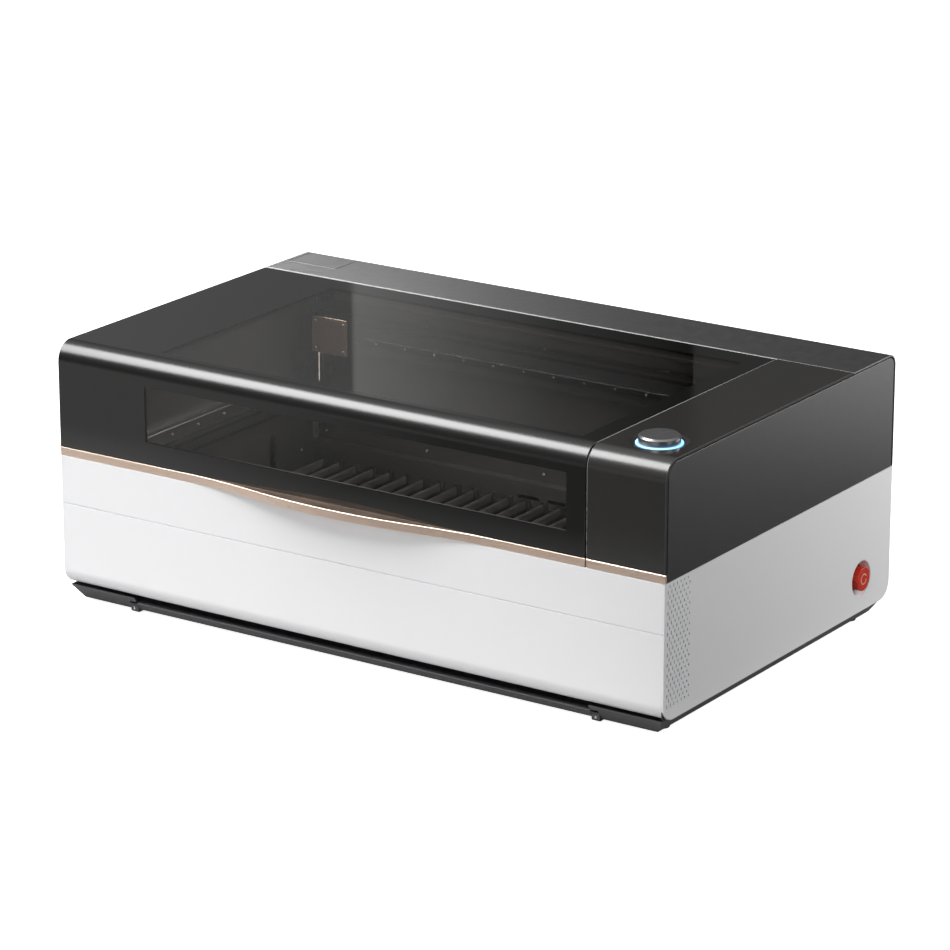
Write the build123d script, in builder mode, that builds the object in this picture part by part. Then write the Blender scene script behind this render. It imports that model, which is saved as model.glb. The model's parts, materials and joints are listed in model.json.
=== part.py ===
"""Desktop laser cutter: an assembly of separate pieces, one STEP file for each node.

Millimetres. +X is the operator's right, +Y the back, +Z up. The origin is under the centre of the
body, on the surface that the rubber feet stand on.
"""

from build123d import *
import os

os.makedirs("parts", exist_ok=True)

# ---------------------------------------------------------------- driving dimensions
HALF_WIDTH = 585.0  # body, left and right of the centre
Y_FRONT, Y_BACK = -364.0, 350.0
Z_BODY, Z_TOP = 31.0, 450.0
R_FRONT_LOW, R_BACK_LOW, R_BACK_HIGH, R_FRONT_HIGH = 29.0, 30.0, 20.0, 33.0

SKIN = 3.0  # painted sheet of the lower body
COVER = 3.5  # hood covers
GLASS = 4.0  # bent glass of the lid
SHEET = 2.0  # inner sheet metal
GAP = 0.5  # between pieces of different bodies

Z_BAND_LOW, Z_BAND_HIGH = 257.5, 271.5  # rose-gold band along the front
Z_WHITE_TOP = Z_BAND_LOW - GAP
Z_FRONT_SEAM = 175.0
SEAM = 0.8

X_LID_RIGHT, X_CONSOLE_LEFT = 441.0, 443.5
Y_LID_BACK, Y_REAR_COVER = 208.5, 210.0
EDGE = 1.5  # bevel of the two edges that meet over the lid's hinge line

# working cavity
X_WALL_LEFT, X_WALL_RIGHT = -468.0, 433.0
Y_WALL_FRONT = -331.0
Y_WALL_LOW, Y_WALL_HIGH = 186.0, 206.0  # rear wall, below and above its ledge
Z_LEDGE = 160.0
Z_CAVITY, Z_WALL_TOP, Z_REAR_TOP = 34.0, 410.0, 428.0

# base
Z_TRAY = 6.0
TRAY_INSET_TOP, TRAY_INSET_LOW = 7.0, 24.0
TRAY_WALL = 2.5
SLOT_HALF = 444.0  # feed slot in the base
BRACKET_END = 459.0
Z_BAFFLE_LOW, Z_BAFFLE_HIGH = 7.6, 21.4
SLOT_YS = (Y_FRONT, -330.5)
BAFFLE_PIN_Y, BAFFLE_PIN_Z, BAFFLE_PIN_R = -339.0, 10.5, 1.5
Z_BRACKET = 14.5

# bed
SLAT_PITCH, SLAT_THICK, SLAT_HEIGHT = 35.0, 3.0, 30.0
Z_SLATS = 145.0
BED_LEFT, BED_RIGHT, BED_FRONT, BED_BACK = -455.0, 420.0, -318.0, 172.0
BED_TUBE = 20.0
LIFT_YS = (-220.0, 67.0)
LIFT_OUT = 34.0  # lift screws stand this far outside the cavity walls
LIFT_TRAVEL = 85.0
Z_LUG = Z_SLATS - 49  # underside of the bed frame and of its lift lugs
SCREW_R = 5.0
RUN = 0.08  # radial running clearance

# motion system
RAIL_W, RAIL_H, Z_RAIL = 12.0, 10.0, 287.0
Z_BACKING = 264.0
Y_BEAM_FRONT, Y_BEAM_BACK = 146.0, 184.0
Z_BEAM_LOW, Z_BEAM_HIGH = 345.0, 394.0
BEAM_LEFT, BEAM_RIGHT = -444.0, 409.0
PULLEY_R, BELT_W, BELT_T = 8.0, 6.0, 1.5
SHAFT_R = 4.0
Z_BELT = 246.0
Y_SHAFT, Y_IDLER = -312.0, 168.0
HEAD_X, HEAD_W, HEAD_Y = -374.0, 72.0, 104.0
Z_HEAD_LOW, Z_HEAD_HIGH = 348.0, 412.0
LENS_X, LENS_Y, LENS_R = -388.0, 122.0, 11.0
Z_NOZZLE, Z_LENS_LOW = 296.0, 308.0
BEAM_Z = 330.0  # optical height
MIRROR_X = -440.0

# lid hinges
HINGE_XS = (-445.0, 415.0)
HINGE_Y, HINGE_Z = 209.25, 448.0
ARM_W, ARM_R_IN, ARM_R_OUT = 10.0, 19.0, 25.0

# controls
BUTTON_X, BUTTON_Y, BUTTON_R, DISH_R = 518.0, -276.0, 33.0, 46.0
STOP_Y, STOP_Z, STOP_CUP_R, STOP_HEAD_R = 253.0, 89.0, 32.0, 20.0
HATCH_LEFT, HATCH_RIGHT, HATCH_FRONT, HATCH_LOW = -576.0, -475.0, 265.0, 400.0

# exhaust
FAN_X, FAN_Z, FAN_R = 250.0, 150.0, 60.0
COLLAR_R, COLLAR_END = 50.0, 389.0

BOTH = (-1, 1)


def save(piece, name):
    """Label a finished piece and write its STEP file."""
    piece.part.label = name
    export_step(piece.part, f"parts/{name}.step")


def body_outline(inset):
    """Rounded side outline of the body, a given distance inside its skin, drawn as (y, z)."""
    front, back = Y_FRONT + inset, Y_BACK - inset
    low, high = Z_BODY + inset, Z_TOP - inset
    radii = [r - inset for r in (R_FRONT_LOW, R_BACK_LOW, R_BACK_HIGH, R_FRONT_HIGH)]
    with BuildLine() as outline:
        FilletPolyline((front, low), (back, low), (back, high), (front, high), radius=radii, close=True)
    return outline.line


def box_span(x_span, y_span, z_span, mode=Mode.ADD):
    """Box between two x, two y and two z values, in the active part."""
    spans = (x_span, y_span, z_span)
    with Locations(tuple(sum(span) / 2 for span in spans)):
        Box(*(span[1] - span[0] for span in spans), mode=mode)


def side_section(x, inset, thickness, y_span, z_span):
    """Face at x of the body's outline, kept between y and z limits: a layer of the skin, or all of it."""
    with BuildSketch(Plane.YZ.offset(x)) as section:
        make_face(body_outline(inset))
        if thickness:
            make_face(body_outline(inset + thickness), mode=Mode.SUBTRACT)
        with Locations((sum(y_span) / 2, sum(z_span) / 2)):
            Rectangle(y_span[1] - y_span[0], z_span[1] - z_span[0], mode=Mode.INTERSECT)
    return section.sketch


def cylinder_along(plane, radius, length, mode=Mode.ADD):
    """Cylinder that starts on a plane and runs along its normal."""
    with Locations(plane):
        Cylinder(radius, length, align=(Align.CENTER, Align.CENTER, Align.MIN), mode=mode)


# ================================================================ outer body
# Tapered tray under the body, with the feed slot through its front and rear walls.
tray_y = (Y_FRONT + Y_BACK) / 2
with BuildPart() as base_tray:
    for height, inset in ((Z_TRAY, TRAY_INSET_LOW), (Z_BODY, TRAY_INSET_TOP)):
        with BuildSketch(Plane.XY.offset(height)):
            with Locations((0, tray_y)):
                Rectangle(2 * (HALF_WIDTH - inset), Y_BACK - Y_FRONT - 2 * inset)
    loft()
    offset(amount=-TRAY_WALL, openings=base_tray.faces().sort_by(Axis.Z)[-1])
    box_span((-SLOT_HALF, SLOT_HALF), SLOT_YS, (0, Z_BODY), mode=Mode.SUBTRACT)
    box_span((-SLOT_HALF, SLOT_HALF), (Y_BACK - 20, Y_BACK), (Z_BAFFLE_HIGH, Z_BODY), mode=Mode.SUBTRACT)
    for side in BOTH:
        ends = sorted((side * SLOT_HALF, side * BRACKET_END))
        box_span(ends, SLOT_YS, (0, Z_BRACKET), mode=Mode.SUBTRACT)
        box_span(ends, SLOT_YS, (18, 22.5), mode=Mode.SUBTRACT)
save(base_tray, "base_tray")

with BuildPart() as rubber_feet:
    with BuildSketch():
        with Locations(*((x, y) for x in (-544, 0, 544) for y in (-301, 287))):
            Circle(13)
    extrude(amount=Z_TRAY)
    fillet(rubber_feet.edges().group_by(Axis.Z)[0], 1.5)
save(rubber_feet, "rubber_feet")

# Bar that closes the feed slot. It turns on a pin at each end.
with BuildPart() as front_baffle:
    with BuildSketch(Plane.YZ.offset(-SLOT_HALF + GAP)):
        with BuildLine():
            Polyline(
                (-342.4, Z_BAFFLE_LOW),
                (-350.6, Z_BAFFLE_HIGH - 1),
                (-349.8, Z_BAFFLE_HIGH),
                (-341.0, Z_BAFFLE_HIGH),
                (-336.5, 13.0),
                (-336.5, Z_BAFFLE_LOW),
                close=True,
            )
        make_face()
    extrude(amount=2 * (SLOT_HALF - GAP))
    pin_reach = BRACKET_END - 4
    cylinder_along(
        Plane((-pin_reach, BAFFLE_PIN_Y, BAFFLE_PIN_Z), z_dir=(1, 0, 0)), BAFFLE_PIN_R, 2 * pin_reach
    )
save(front_baffle, "front_baffle")

with BuildPart() as baffle_brackets:
    for side in BOTH:
        ends = sorted((side * SLOT_HALF, side * BRACKET_END))
        box_span(ends, (-346, SLOT_YS[1]), (3, Z_BRACKET))
    chamfer(baffle_brackets.edges().filter_by(Axis.X).group_by(Axis.Z)[0], 2)
    cylinder_along(
        Plane((-BRACKET_END, BAFFLE_PIN_Y, BAFFLE_PIN_Z), z_dir=(1, 0, 0)),
        BAFFLE_PIN_R + RUN,
        2 * BRACKET_END,
        mode=Mode.SUBTRACT,
    )
save(baffle_brackets, "baffle_brackets")

front_y = (Y_FRONT, Y_FRONT + 40)
inside = HALF_WIDTH - SKIN  # inner face of the side panels

with BuildPart() as front_lower_panel:
    extrude(side_section(-inside, 0, SKIN, front_y, (Z_BODY, Z_FRONT_SEAM - SEAM / 2)), amount=2 * inside)
save(front_lower_panel, "front_lower_panel")

with BuildPart() as front_upper_panel:
    front_upper_zs = (Z_FRONT_SEAM + SEAM / 2, Z_WHITE_TOP)
    extrude(side_section(-inside, 0, SKIN, front_y, front_upper_zs), amount=2 * inside)
    box_span((-inside, inside), (Y_FRONT + SKIN, Y_WALL_FRONT - SHEET), (Z_WHITE_TOP - SHEET, Z_WHITE_TOP))
save(front_upper_panel, "front_upper_panel")

with BuildPart() as left_side_panel:
    extrude(side_section(-HALF_WIDTH, 0, 0, (Y_FRONT, Y_BACK), (Z_BODY, Z_WHITE_TOP)), amount=SKIN)
    fillet(left_side_panel.faces().sort_by(Axis.X)[0].outer_wire().edges().sort_by(Axis.Z)[:-1], 1.5)
save(left_side_panel, "left_side_panel")

# The right panel has the vent holes along its front edge and the emergency stop's round opening.
VENT_COLUMNS, VENT_PITCH, VENT_ROWS = 13, 5.3, 12
with BuildPart() as right_side_panel:
    extrude(side_section(inside, 0, 0, (Y_FRONT, Y_BACK), (Z_BODY, Z_WHITE_TOP)), amount=SKIN)
    fillet(right_side_panel.faces().sort_by(Axis.X)[-1].outer_wire().edges().sort_by(Axis.Z)[:-1], 1.5)
    with BuildSketch(Plane.YZ.offset(inside)) as openings:
        with Locations((STOP_Y, STOP_Z)):
            Circle(STOP_CUP_R)
        for column in range(VENT_COLUMNS):
            shift = 8.4 * (column % 2)
            with Locations((-355 + VENT_PITCH * column, 149 + shift)):
                with GridLocations(0, 16.8, 1, VENT_ROWS):
                    SlotCenterToCenter(4.2 - 0.2 * column, 3, rotation=90)
    extrude(openings.sketch, amount=SKIN, mode=Mode.SUBTRACT)
save(right_side_panel, "right_side_panel")

PANEL_INSET = 5.0
HOOD_FRONT = Y_FRONT + 6.6
hood_x = HALF_WIDTH - 0.5
for side, name in ((-1, "left_hood_side"), (1, "right_hood_side")):
    with BuildPart() as hood_side:
        x_low = min(side * hood_x, side * (hood_x - SKIN))
        hood_zs = (Z_WHITE_TOP + GAP, Z_TOP)
        extrude(side_section(x_low, PANEL_INSET, 0, (HOOD_FRONT, Y_BACK), hood_zs), amount=SKIN)
    save(hood_side, name)

# Lower back: exhaust opening, power inlet opening.
INLET_X, INLET_Z = 520.0, 90.0
inlet_opening = ((INLET_X - 24, INLET_X + 24), (Y_BACK - 10, Y_BACK + 5), (INLET_Z - 30, INLET_Z + 30))
with BuildPart() as rear_panel:
    extrude(side_section(-inside, 0, SKIN, (Y_BACK - 40, Y_BACK), (Z_BODY, Z_WHITE_TOP)), amount=2 * inside)
    exhaust_hole = Plane((FAN_X, Y_BACK - 10, FAN_Z), z_dir=(0, 1, 0))
    cylinder_along(exhaust_hole, COLLAR_R + 7, 20, mode=Mode.SUBTRACT)
    box_span(*inlet_opening, mode=Mode.SUBTRACT)
save(rear_panel, "rear_panel")

# The hood's rear cover wraps over the back edge. Its left end holds the hatch.
with BuildPart() as rear_top_cover:
    extrude(
        side_section(-HALF_WIDTH, 0, COVER, (Y_REAR_COVER, Y_BACK), (Z_WHITE_TOP + GAP, Z_TOP)),
        amount=2 * HALF_WIDTH,
    )
    chamfer(rear_top_cover.faces().sort_by(Axis.Y)[0].edges().sort_by(Axis.Z)[-1], EDGE)
    box_span((HATCH_LEFT, HATCH_RIGHT), (HATCH_FRONT, Y_BACK + 1), (HATCH_LOW, Z_TOP + 1), mode=Mode.SUBTRACT)
save(rear_top_cover, "rear_top_cover")

with BuildPart() as service_hatch:
    hatch_gap = 0.7
    hatch_y = (HATCH_FRONT + hatch_gap, Y_BACK)
    hatch_z = (HATCH_LOW + hatch_gap, Z_TOP)
    extrude(
        side_section(HATCH_LEFT + hatch_gap, 0, COVER, hatch_y, hatch_z),
        amount=HATCH_RIGHT - HATCH_LEFT - 2 * hatch_gap,
    )
save(service_hatch, "service_hatch")

# Console on the right of the lid, with the round opening for the start button's dish.
with BuildPart() as console_cover:
    extrude(
        side_section(X_CONSOLE_LEFT, 0, COVER, (Y_FRONT, Y_LID_BACK + 1), (Z_BAND_HIGH + GAP, Z_TOP)),
        amount=HALF_WIDTH - X_CONSOLE_LEFT,
    )
    cylinder_along(Plane((BUTTON_X, BUTTON_Y, Z_TOP - 10)), DISH_R, 20, mode=Mode.SUBTRACT)
save(console_cover, "console_cover")

with BuildPart() as console_trim:
    box_span((X_CONSOLE_LEFT, HALF_WIDTH), (Y_FRONT, Y_FRONT + 4.6), (Z_BAND_LOW, Z_BAND_HIGH))
    chamfer(console_trim.edges().filter_by(Axis.X).group_by(Axis.Y)[0], 0.8)
save(console_trim, "console_trim")

# ================================================================ lid
with BuildPart() as lid_glass:
    extrude(
        side_section(-HALF_WIDTH, 0, GLASS, (Y_FRONT, Y_LID_BACK), (Z_BAND_HIGH, Z_TOP)),
        amount=HALF_WIDTH + X_LID_RIGHT,
    )
    chamfer(lid_glass.faces().sort_by(Axis.Y)[-1].edges().sort_by(Axis.Z)[-1], EDGE)
save(lid_glass, "lid_glass")

# Black frame bonded inside the glass, open behind the top window and the front window.
FRAME = 3.0
WINDOW_HALF = 406.5
z_frame_under = Z_TOP - GLASS - 0.1 - FRAME
with BuildPart() as lid_frame:
    extrude(
        side_section(
            -HALF_WIDTH + 7, GLASS + 0.1, FRAME, (Y_FRONT, Y_LID_BACK - 2), (Z_BAND_HIGH + 0.1, Z_TOP)
        ),
        amount=HALF_WIDTH + X_LID_RIGHT - 12,
    )
    box_span((-WINDOW_HALF, WINDOW_HALF), (-319.5, 159), (Z_TOP - 20, Z_TOP), mode=Mode.SUBTRACT)
    box_span((-WINDOW_HALF, WINDOW_HALF), (Y_FRONT, Y_FRONT + 20), (309.5, 404), mode=Mode.SUBTRACT)
save(lid_frame, "lid_frame")

# Bar along the lid's lower edge. Its middle bows out to make the grip.
GRIP_X, GRIP_HALF, GRIP_OUT = -25.0, 316.0, 25.0
with BuildPart() as lid_handle:
    with BuildSketch(Plane.XY.offset(Z_BAND_LOW)) as handle_section:
        with BuildLine():
            left = Line((-HALF_WIDTH, Y_FRONT), (GRIP_X - GRIP_HALF, Y_FRONT))
            bend_y = Y_FRONT - GRIP_OUT / 2
            run_out = TangentArc(left @ 1, (GRIP_X - GRIP_HALF / 2, bend_y), tangent=left % 1)
            crest = TangentArc(run_out @ 1, (GRIP_X + GRIP_HALF / 2, bend_y), tangent=run_out % 1)
            run_in = TangentArc(crest @ 1, (GRIP_X + GRIP_HALF, Y_FRONT), tangent=crest % 1)
            Polyline(
                run_in @ 1,
                (X_LID_RIGHT, Y_FRONT),
                (X_LID_RIGHT, Y_FRONT + 6),
                (-HALF_WIDTH, Y_FRONT + 6),
                left @ 0,
            )
        make_face()
    extrude(handle_section.sketch, amount=Z_BAND_HIGH - Z_BAND_LOW)
save(lid_handle, "lid_handle")

# Two concealed hinges. A curved arm under the lid runs in a curved guide on the body, so the lid
# turns about a line in the seam at its back edge, where no knuckle shows.
with BuildPart() as lid_hinge_arms:
    for hinge_x in HINGE_XS:
        with BuildSketch(Plane.YZ.offset(hinge_x - ARM_W / 2)) as arm:
            with Locations((HINGE_Y, HINGE_Z)):
                Circle(ARM_R_OUT)
                Circle(ARM_R_IN, mode=Mode.SUBTRACT)
            with BuildLine():
                reach = 2 * ARM_R_OUT
                Polyline(
                    (HINGE_Y, HINGE_Z),
                    (HINGE_Y - reach, HINGE_Z - 16),
                    (HINGE_Y - reach, HINGE_Z - reach),
                    (HINGE_Y + reach / 2, HINGE_Z - reach),
                    close=True,
                )
            make_face(mode=Mode.INTERSECT)
            with Locations((171, z_frame_under - 2.5)):
                Rectangle(32, 5)
        extrude(arm.sketch, amount=ARM_W)
save(lid_hinge_arms, "lid_hinge_arms")

with BuildPart() as hinge_brackets:
    for hinge_x in HINGE_XS:
        cheek = ARM_W / 2 + GAP
        for side in BOTH:
            ends = sorted((hinge_x + side * cheek, hinge_x + side * (cheek + 4)))
            box_span(ends, (192, 232), (Z_WALL_TOP, 436))
        box_span((hinge_x - cheek, hinge_x + cheek), (192, 232), (Z_WALL_TOP, Z_WALL_TOP + 6))
        for roller_y in (196.0, 214.0):
            drop = ((ARM_R_OUT + 2.2) ** 2 - (roller_y - HINGE_Y) ** 2) ** 0.5
            roller = Plane((hinge_x - cheek, roller_y, HINGE_Z - drop), z_dir=(1, 0, 0))
            cylinder_along(roller, 2, 2 * cheek)
save(hinge_brackets, "hinge_brackets")

# ================================================================ cavity walls
for wall_x, x_out, name in (
    (X_WALL_LEFT, X_WALL_LEFT - SHEET, "left_inner_wall"),
    (X_WALL_RIGHT, X_WALL_RIGHT + SHEET, "right_inner_wall"),
):
    inward = 1 if wall_x < 0 else -1
    with BuildPart() as inner_wall:
        box_span(sorted((wall_x, x_out)), (Y_WALL_FRONT, Y_WALL_LOW), (Z_CAVITY, Z_WALL_TOP))
        # folded flange along the top
        flange_x = sorted((x_out - 12 * inward, x_out))
        box_span(flange_x, (Y_WALL_FRONT, Y_WALL_LOW), (Z_WALL_TOP - SHEET, Z_WALL_TOP))
        through = sorted((wall_x + inward, x_out - inward))
        lift_zs = (Z_LUG - 6, Z_LUG + LIFT_TRAVEL + 18)
        for lift_y in LIFT_YS:
            box_span(through, (lift_y - 8, lift_y + 8), lift_zs, mode=Mode.SUBTRACT)
        for axle_y in (Y_SHAFT, Y_IDLER):
            axle = Plane((through[0], axle_y, Z_BELT), z_dir=(1, 0, 0))
            cylinder_along(axle, SHAFT_R + RUN, SHEET + 2, mode=Mode.SUBTRACT)
    save(inner_wall, name)

# Folded rear wall, with its ledge, the exhaust grille and the hole for the laser beam.
wall_span = (X_WALL_LEFT - SHEET, X_WALL_RIGHT + SHEET)
with BuildPart() as rear_inner_wall:
    box_span(wall_span, (Y_WALL_LOW, Y_WALL_LOW + SHEET), (Z_CAVITY, Z_LEDGE))
    box_span(wall_span, (Y_WALL_LOW, Y_WALL_HIGH), (Z_LEDGE, Z_LEDGE + SHEET))
    box_span(wall_span, (Y_WALL_HIGH - SHEET, Y_WALL_HIGH), (Z_LEDGE, Z_REAR_TOP))
    for hinge_x in HINGE_XS:
        notch = ARM_W / 2 + GAP + 4
        box_span(
            (hinge_x - notch, hinge_x + notch),
            (Y_WALL_HIGH - SHEET, Y_WALL_HIGH),
            (Z_WALL_TOP, Z_REAR_TOP),
            mode=Mode.SUBTRACT,
        )
    with BuildSketch(Plane.XZ.offset(-Y_WALL_LOW - SHEET)) as grille:
        with Locations((FAN_X - 60, 96)):
            with GridLocations(60, 16, 8, 6):
                SlotOverall(44, 7)
    extrude(grille.sketch, amount=SHEET, mode=Mode.SUBTRACT)
    cylinder_along(Plane((MIRROR_X, Y_WALL_HIGH - 5, BEAM_Z), z_dir=(0, 1, 0)), 8, 10, mode=Mode.SUBTRACT)
save(rear_inner_wall, "rear_inner_wall")

with BuildPart() as front_inner_wall:
    box_span(wall_span, (Y_WALL_FRONT - SHEET, Y_WALL_FRONT), (Z_CAVITY, Z_WHITE_TOP))
save(front_inner_wall, "front_inner_wall")

# Shallow pan on the cavity's floor that catches the offcuts.
with BuildPart() as debris_tray:
    box_span((X_WALL_LEFT + 4, X_WALL_RIGHT - 4), (Y_WALL_FRONT + 4, Y_WALL_LOW - 4), (Z_CAVITY, 58))
    offset(amount=-1.5, openings=debris_tray.faces().sort_by(Axis.Z)[-1])
save(debris_tray, "debris_tray")

# ================================================================ bed
bed_mid = ((BED_LEFT + BED_RIGHT) / 2, (BED_FRONT + BED_BACK) / 2)
bed_size = (BED_RIGHT - BED_LEFT, BED_BACK - BED_FRONT)
COMB_YS = (BED_FRONT + BED_TUBE + 2, BED_BACK - BED_TUBE - 6)
COMB_THICK = 4.0
COMB_TOP, NOTCH_LOW = Z_SLATS + 3, Z_SLATS - 20

with BuildPart() as bed_frame:
    with BuildSketch(Plane.XY.offset(Z_LUG)):
        with Locations(bed_mid):
            Rectangle(*bed_size)
            Rectangle(bed_size[0] - 2 * BED_TUBE, bed_size[1] - 2 * BED_TUBE, mode=Mode.SUBTRACT)
    extrude(amount=29)
    for lift_y in LIFT_YS:
        for wall_x, edge, out in ((X_WALL_LEFT, BED_LEFT, -1), (X_WALL_RIGHT, BED_RIGHT, 1)):
            nut_x = wall_x + out * LIFT_OUT
            box_span(sorted((edge, nut_x)), (lift_y - 6, lift_y + 6), (Z_LUG, Z_LUG + 12))
            box_span((nut_x - 13, nut_x + 13), (lift_y - 13, lift_y + 13), (Z_LUG, Z_LUG + 16))
            cylinder_along(Plane((nut_x, lift_y, Z_LUG)), SCREW_R + RUN, 16, mode=Mode.SUBTRACT)
save(bed_frame, "bed_frame")

slat_count = int((bed_size[0] - 2 * BED_TUBE - 20) // SLAT_PITCH) + 1
slat_xs = [bed_mid[0] + SLAT_PITCH * (i - (slat_count - 1) / 2) for i in range(slat_count)]

# Toothed combs at the front and back of the bed: each notch holds a slat on edge.
with BuildPart() as slat_combs:
    for comb_y in COMB_YS:
        comb_ys = (comb_y, comb_y + COMB_THICK)
        box_span((BED_LEFT + BED_TUBE + 1, BED_RIGHT - BED_TUBE - 1), comb_ys, (Z_LUG + 2, COMB_TOP))
        for slat_x in slat_xs:
            half_notch = SLAT_THICK / 2 + 0.25
            notch_x = (slat_x - half_notch, slat_x + half_notch)
            box_span(notch_x, comb_ys, (NOTCH_LOW - 10, COMB_TOP), mode=Mode.SUBTRACT)
            gap_mid = slat_x + SLAT_PITCH / 2
            box_span((gap_mid - 9, gap_mid + 9), comb_ys, (NOTCH_LOW + 12, COMB_TOP), mode=Mode.SUBTRACT)
save(slat_combs, "slat_combs")

with BuildPart() as knife_slats:
    slat_length = BED_BACK - BED_FRONT - 2 * BED_TUBE - 2
    with BuildSketch(Plane.XY.offset(Z_SLATS - SLAT_HEIGHT)):
        with Locations(*((x, bed_mid[1]) for x in slat_xs)):
            Rectangle(SLAT_THICK, slat_length)
    extrude(amount=SLAT_HEIGHT)
    chamfer(knife_slats.edges().filter_by(Axis.Y).group_by(Axis.Z)[-1], length=4, length2=1.1)
save(knife_slats, "knife_slats")

with BuildPart() as lift_screws:
    for lift_y in LIFT_YS:
        for nut_x in (X_WALL_LEFT - LIFT_OUT, X_WALL_RIGHT + LIFT_OUT):
            cylinder_along(Plane((nut_x, lift_y, Z_CAVITY)), SCREW_R, 230)
            cylinder_along(Plane((nut_x, lift_y, Z_CAVITY)), 11, 14)
save(lift_screws, "lift_screws")

# ================================================================ gantry
rail_ys = (Y_WALL_FRONT + 12, Y_WALL_LOW - 4)
with BuildPart() as y_rails:
    for wall_x, inward in ((X_WALL_LEFT, 1), (X_WALL_RIGHT, -1)):
        rail_x = sorted((wall_x, wall_x + inward * RAIL_W))
        box_span(rail_x, rail_ys, (Z_RAIL, Z_RAIL + RAIL_H))
        box_span(sorted((wall_x, wall_x + inward * 3)), rail_ys, (Z_BACKING, Z_RAIL))
        groove_x = sorted((wall_x + inward * (RAIL_W - 1.5), wall_x + inward * RAIL_W))
        box_span(groove_x, rail_ys, (Z_RAIL + 3.5, Z_RAIL + 6.5), mode=Mode.SUBTRACT)
        for hole in range(7):
            hole_y = rail_ys[0] + 30 + 72 * hole
            hole_plane = Plane((min(rail_x), hole_y, Z_BACKING + 11), z_dir=(1, 0, 0))
            cylinder_along(hole_plane, 3, RAIL_W, mode=Mode.SUBTRACT)
save(y_rails, "y_rails")

belt_offset = 5.0  # belts run this far inside the cavity walls
with BuildPart() as y_belts:
    belt_r = PULLEY_R + 0.3
    for belt_x in (X_WALL_LEFT + belt_offset, X_WALL_RIGHT - belt_offset - BELT_W):
        with BuildSketch(Plane.YZ.offset(belt_x)) as loop:
            with Locations(((Y_SHAFT + Y_IDLER) / 2, Z_BELT)):
                SlotCenterToCenter(Y_IDLER - Y_SHAFT, 2 * (belt_r + BELT_T))
                SlotCenterToCenter(Y_IDLER - Y_SHAFT, 2 * belt_r, mode=Mode.SUBTRACT)
        extrude(loop.sketch, amount=BELT_W)
save(y_belts, "y_belts")


def pulley(x_low, y, z):
    """Flanged belt pulley with its axis along X, in the active part. The belt runs between its flanges."""
    cylinder_along(Plane((x_low - 1.8, y, z), z_dir=(1, 0, 0)), PULLEY_R, BELT_W + 3.6)
    for flange_x in (x_low - 1.8, x_low + BELT_W + 0.3):
        cylinder_along(Plane((flange_x, y, z), z_dir=(1, 0, 0)), PULLEY_R + 1.5, 1.5)


axle_out = 6.0  # shaft ends pass this far through the walls
with BuildPart() as y_drive_shaft:
    shaft_start = Plane((X_WALL_LEFT - axle_out, Y_SHAFT, Z_BELT), z_dir=(1, 0, 0))
    cylinder_along(shaft_start, SHAFT_R, X_WALL_RIGHT - X_WALL_LEFT + 2 * axle_out)
    pulley(X_WALL_LEFT + belt_offset, Y_SHAFT, Z_BELT)
    pulley(X_WALL_RIGHT - belt_offset - BELT_W, Y_SHAFT, Z_BELT)
save(y_drive_shaft, "y_drive_shaft")

with BuildPart() as y_idlers:
    stub = axle_out + belt_offset + BELT_W
    cylinder_along(Plane((X_WALL_LEFT - axle_out, Y_IDLER, Z_BELT), z_dir=(1, 0, 0)), SHAFT_R, stub)
    pulley(X_WALL_LEFT + belt_offset, Y_IDLER, Z_BELT)
    cylinder_along(Plane((X_WALL_RIGHT + axle_out, Y_IDLER, Z_BELT), z_dir=(-1, 0, 0)), SHAFT_R, stub)
    pulley(X_WALL_RIGHT - belt_offset - BELT_W, Y_IDLER, Z_BELT)
save(y_idlers, "y_idlers")

with BuildPart() as y_motor:
    motor_x = X_WALL_RIGHT + axle_out + 1
    box_span((motor_x, motor_x + 58), (Y_SHAFT - 18, Y_SHAFT + 38), (Z_BELT - 28, Z_BELT + 28))
    chamfer(y_motor.edges().filter_by(Axis.X), 5)
    box_span((motor_x + 58, motor_x + 66), (Y_SHAFT + 2, Y_SHAFT + 18), (Z_BELT - 26, Z_BELT - 12))
save(y_motor, "y_motor")

# End plates: each carries a bearing block beside its rail and a clamp beside its belt.
RAIL_CLEAR = 0.4
with BuildPart() as gantry_end_plates:
    for wall_x, inward, plate_x in ((X_WALL_LEFT, 1, BEAM_LEFT), (X_WALL_RIGHT, -1, BEAM_RIGHT)):
        block_x = wall_x + inward * (RAIL_W + RAIL_CLEAR)
        box_span(sorted((block_x, plate_x)), (132, 184), (Z_RAIL - 3, Z_RAIL + RAIL_H + 3))
        box_span(sorted((plate_x - inward * 8, plate_x)), (132, 184), (Z_RAIL - 3, Z_BEAM_HIGH))
        clamp_x = wall_x + inward * (belt_offset + BELT_W + 2.5)
        box_span(sorted((clamp_x, plate_x)), (136, 152), (Z_BELT + 12, Z_RAIL - 3))
    # arm and block of the second mirror
    box_span((BEAM_LEFT - 8, MIRROR_X + 12), (LENS_Y - 12, 132), (BEAM_Z - 14, BEAM_Z - 10))
    box_span((MIRROR_X - 12, MIRROR_X + 12), (LENS_Y - 12, LENS_Y + 12), (BEAM_Z - 10, BEAM_Z + 12))
    with BuildSketch(Plane.XY.offset(BEAM_Z - 10)) as bevel:
        with BuildLine():
            corner = (MIRROR_X + 13, LENS_Y + 13)
            Polyline(corner, (MIRROR_X - 6, corner[1]), (corner[0], LENS_Y - 6), close=True)
        make_face()
    extrude(bevel.sketch, amount=22, mode=Mode.SUBTRACT)
save(gantry_end_plates, "gantry_end_plates")

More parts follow.
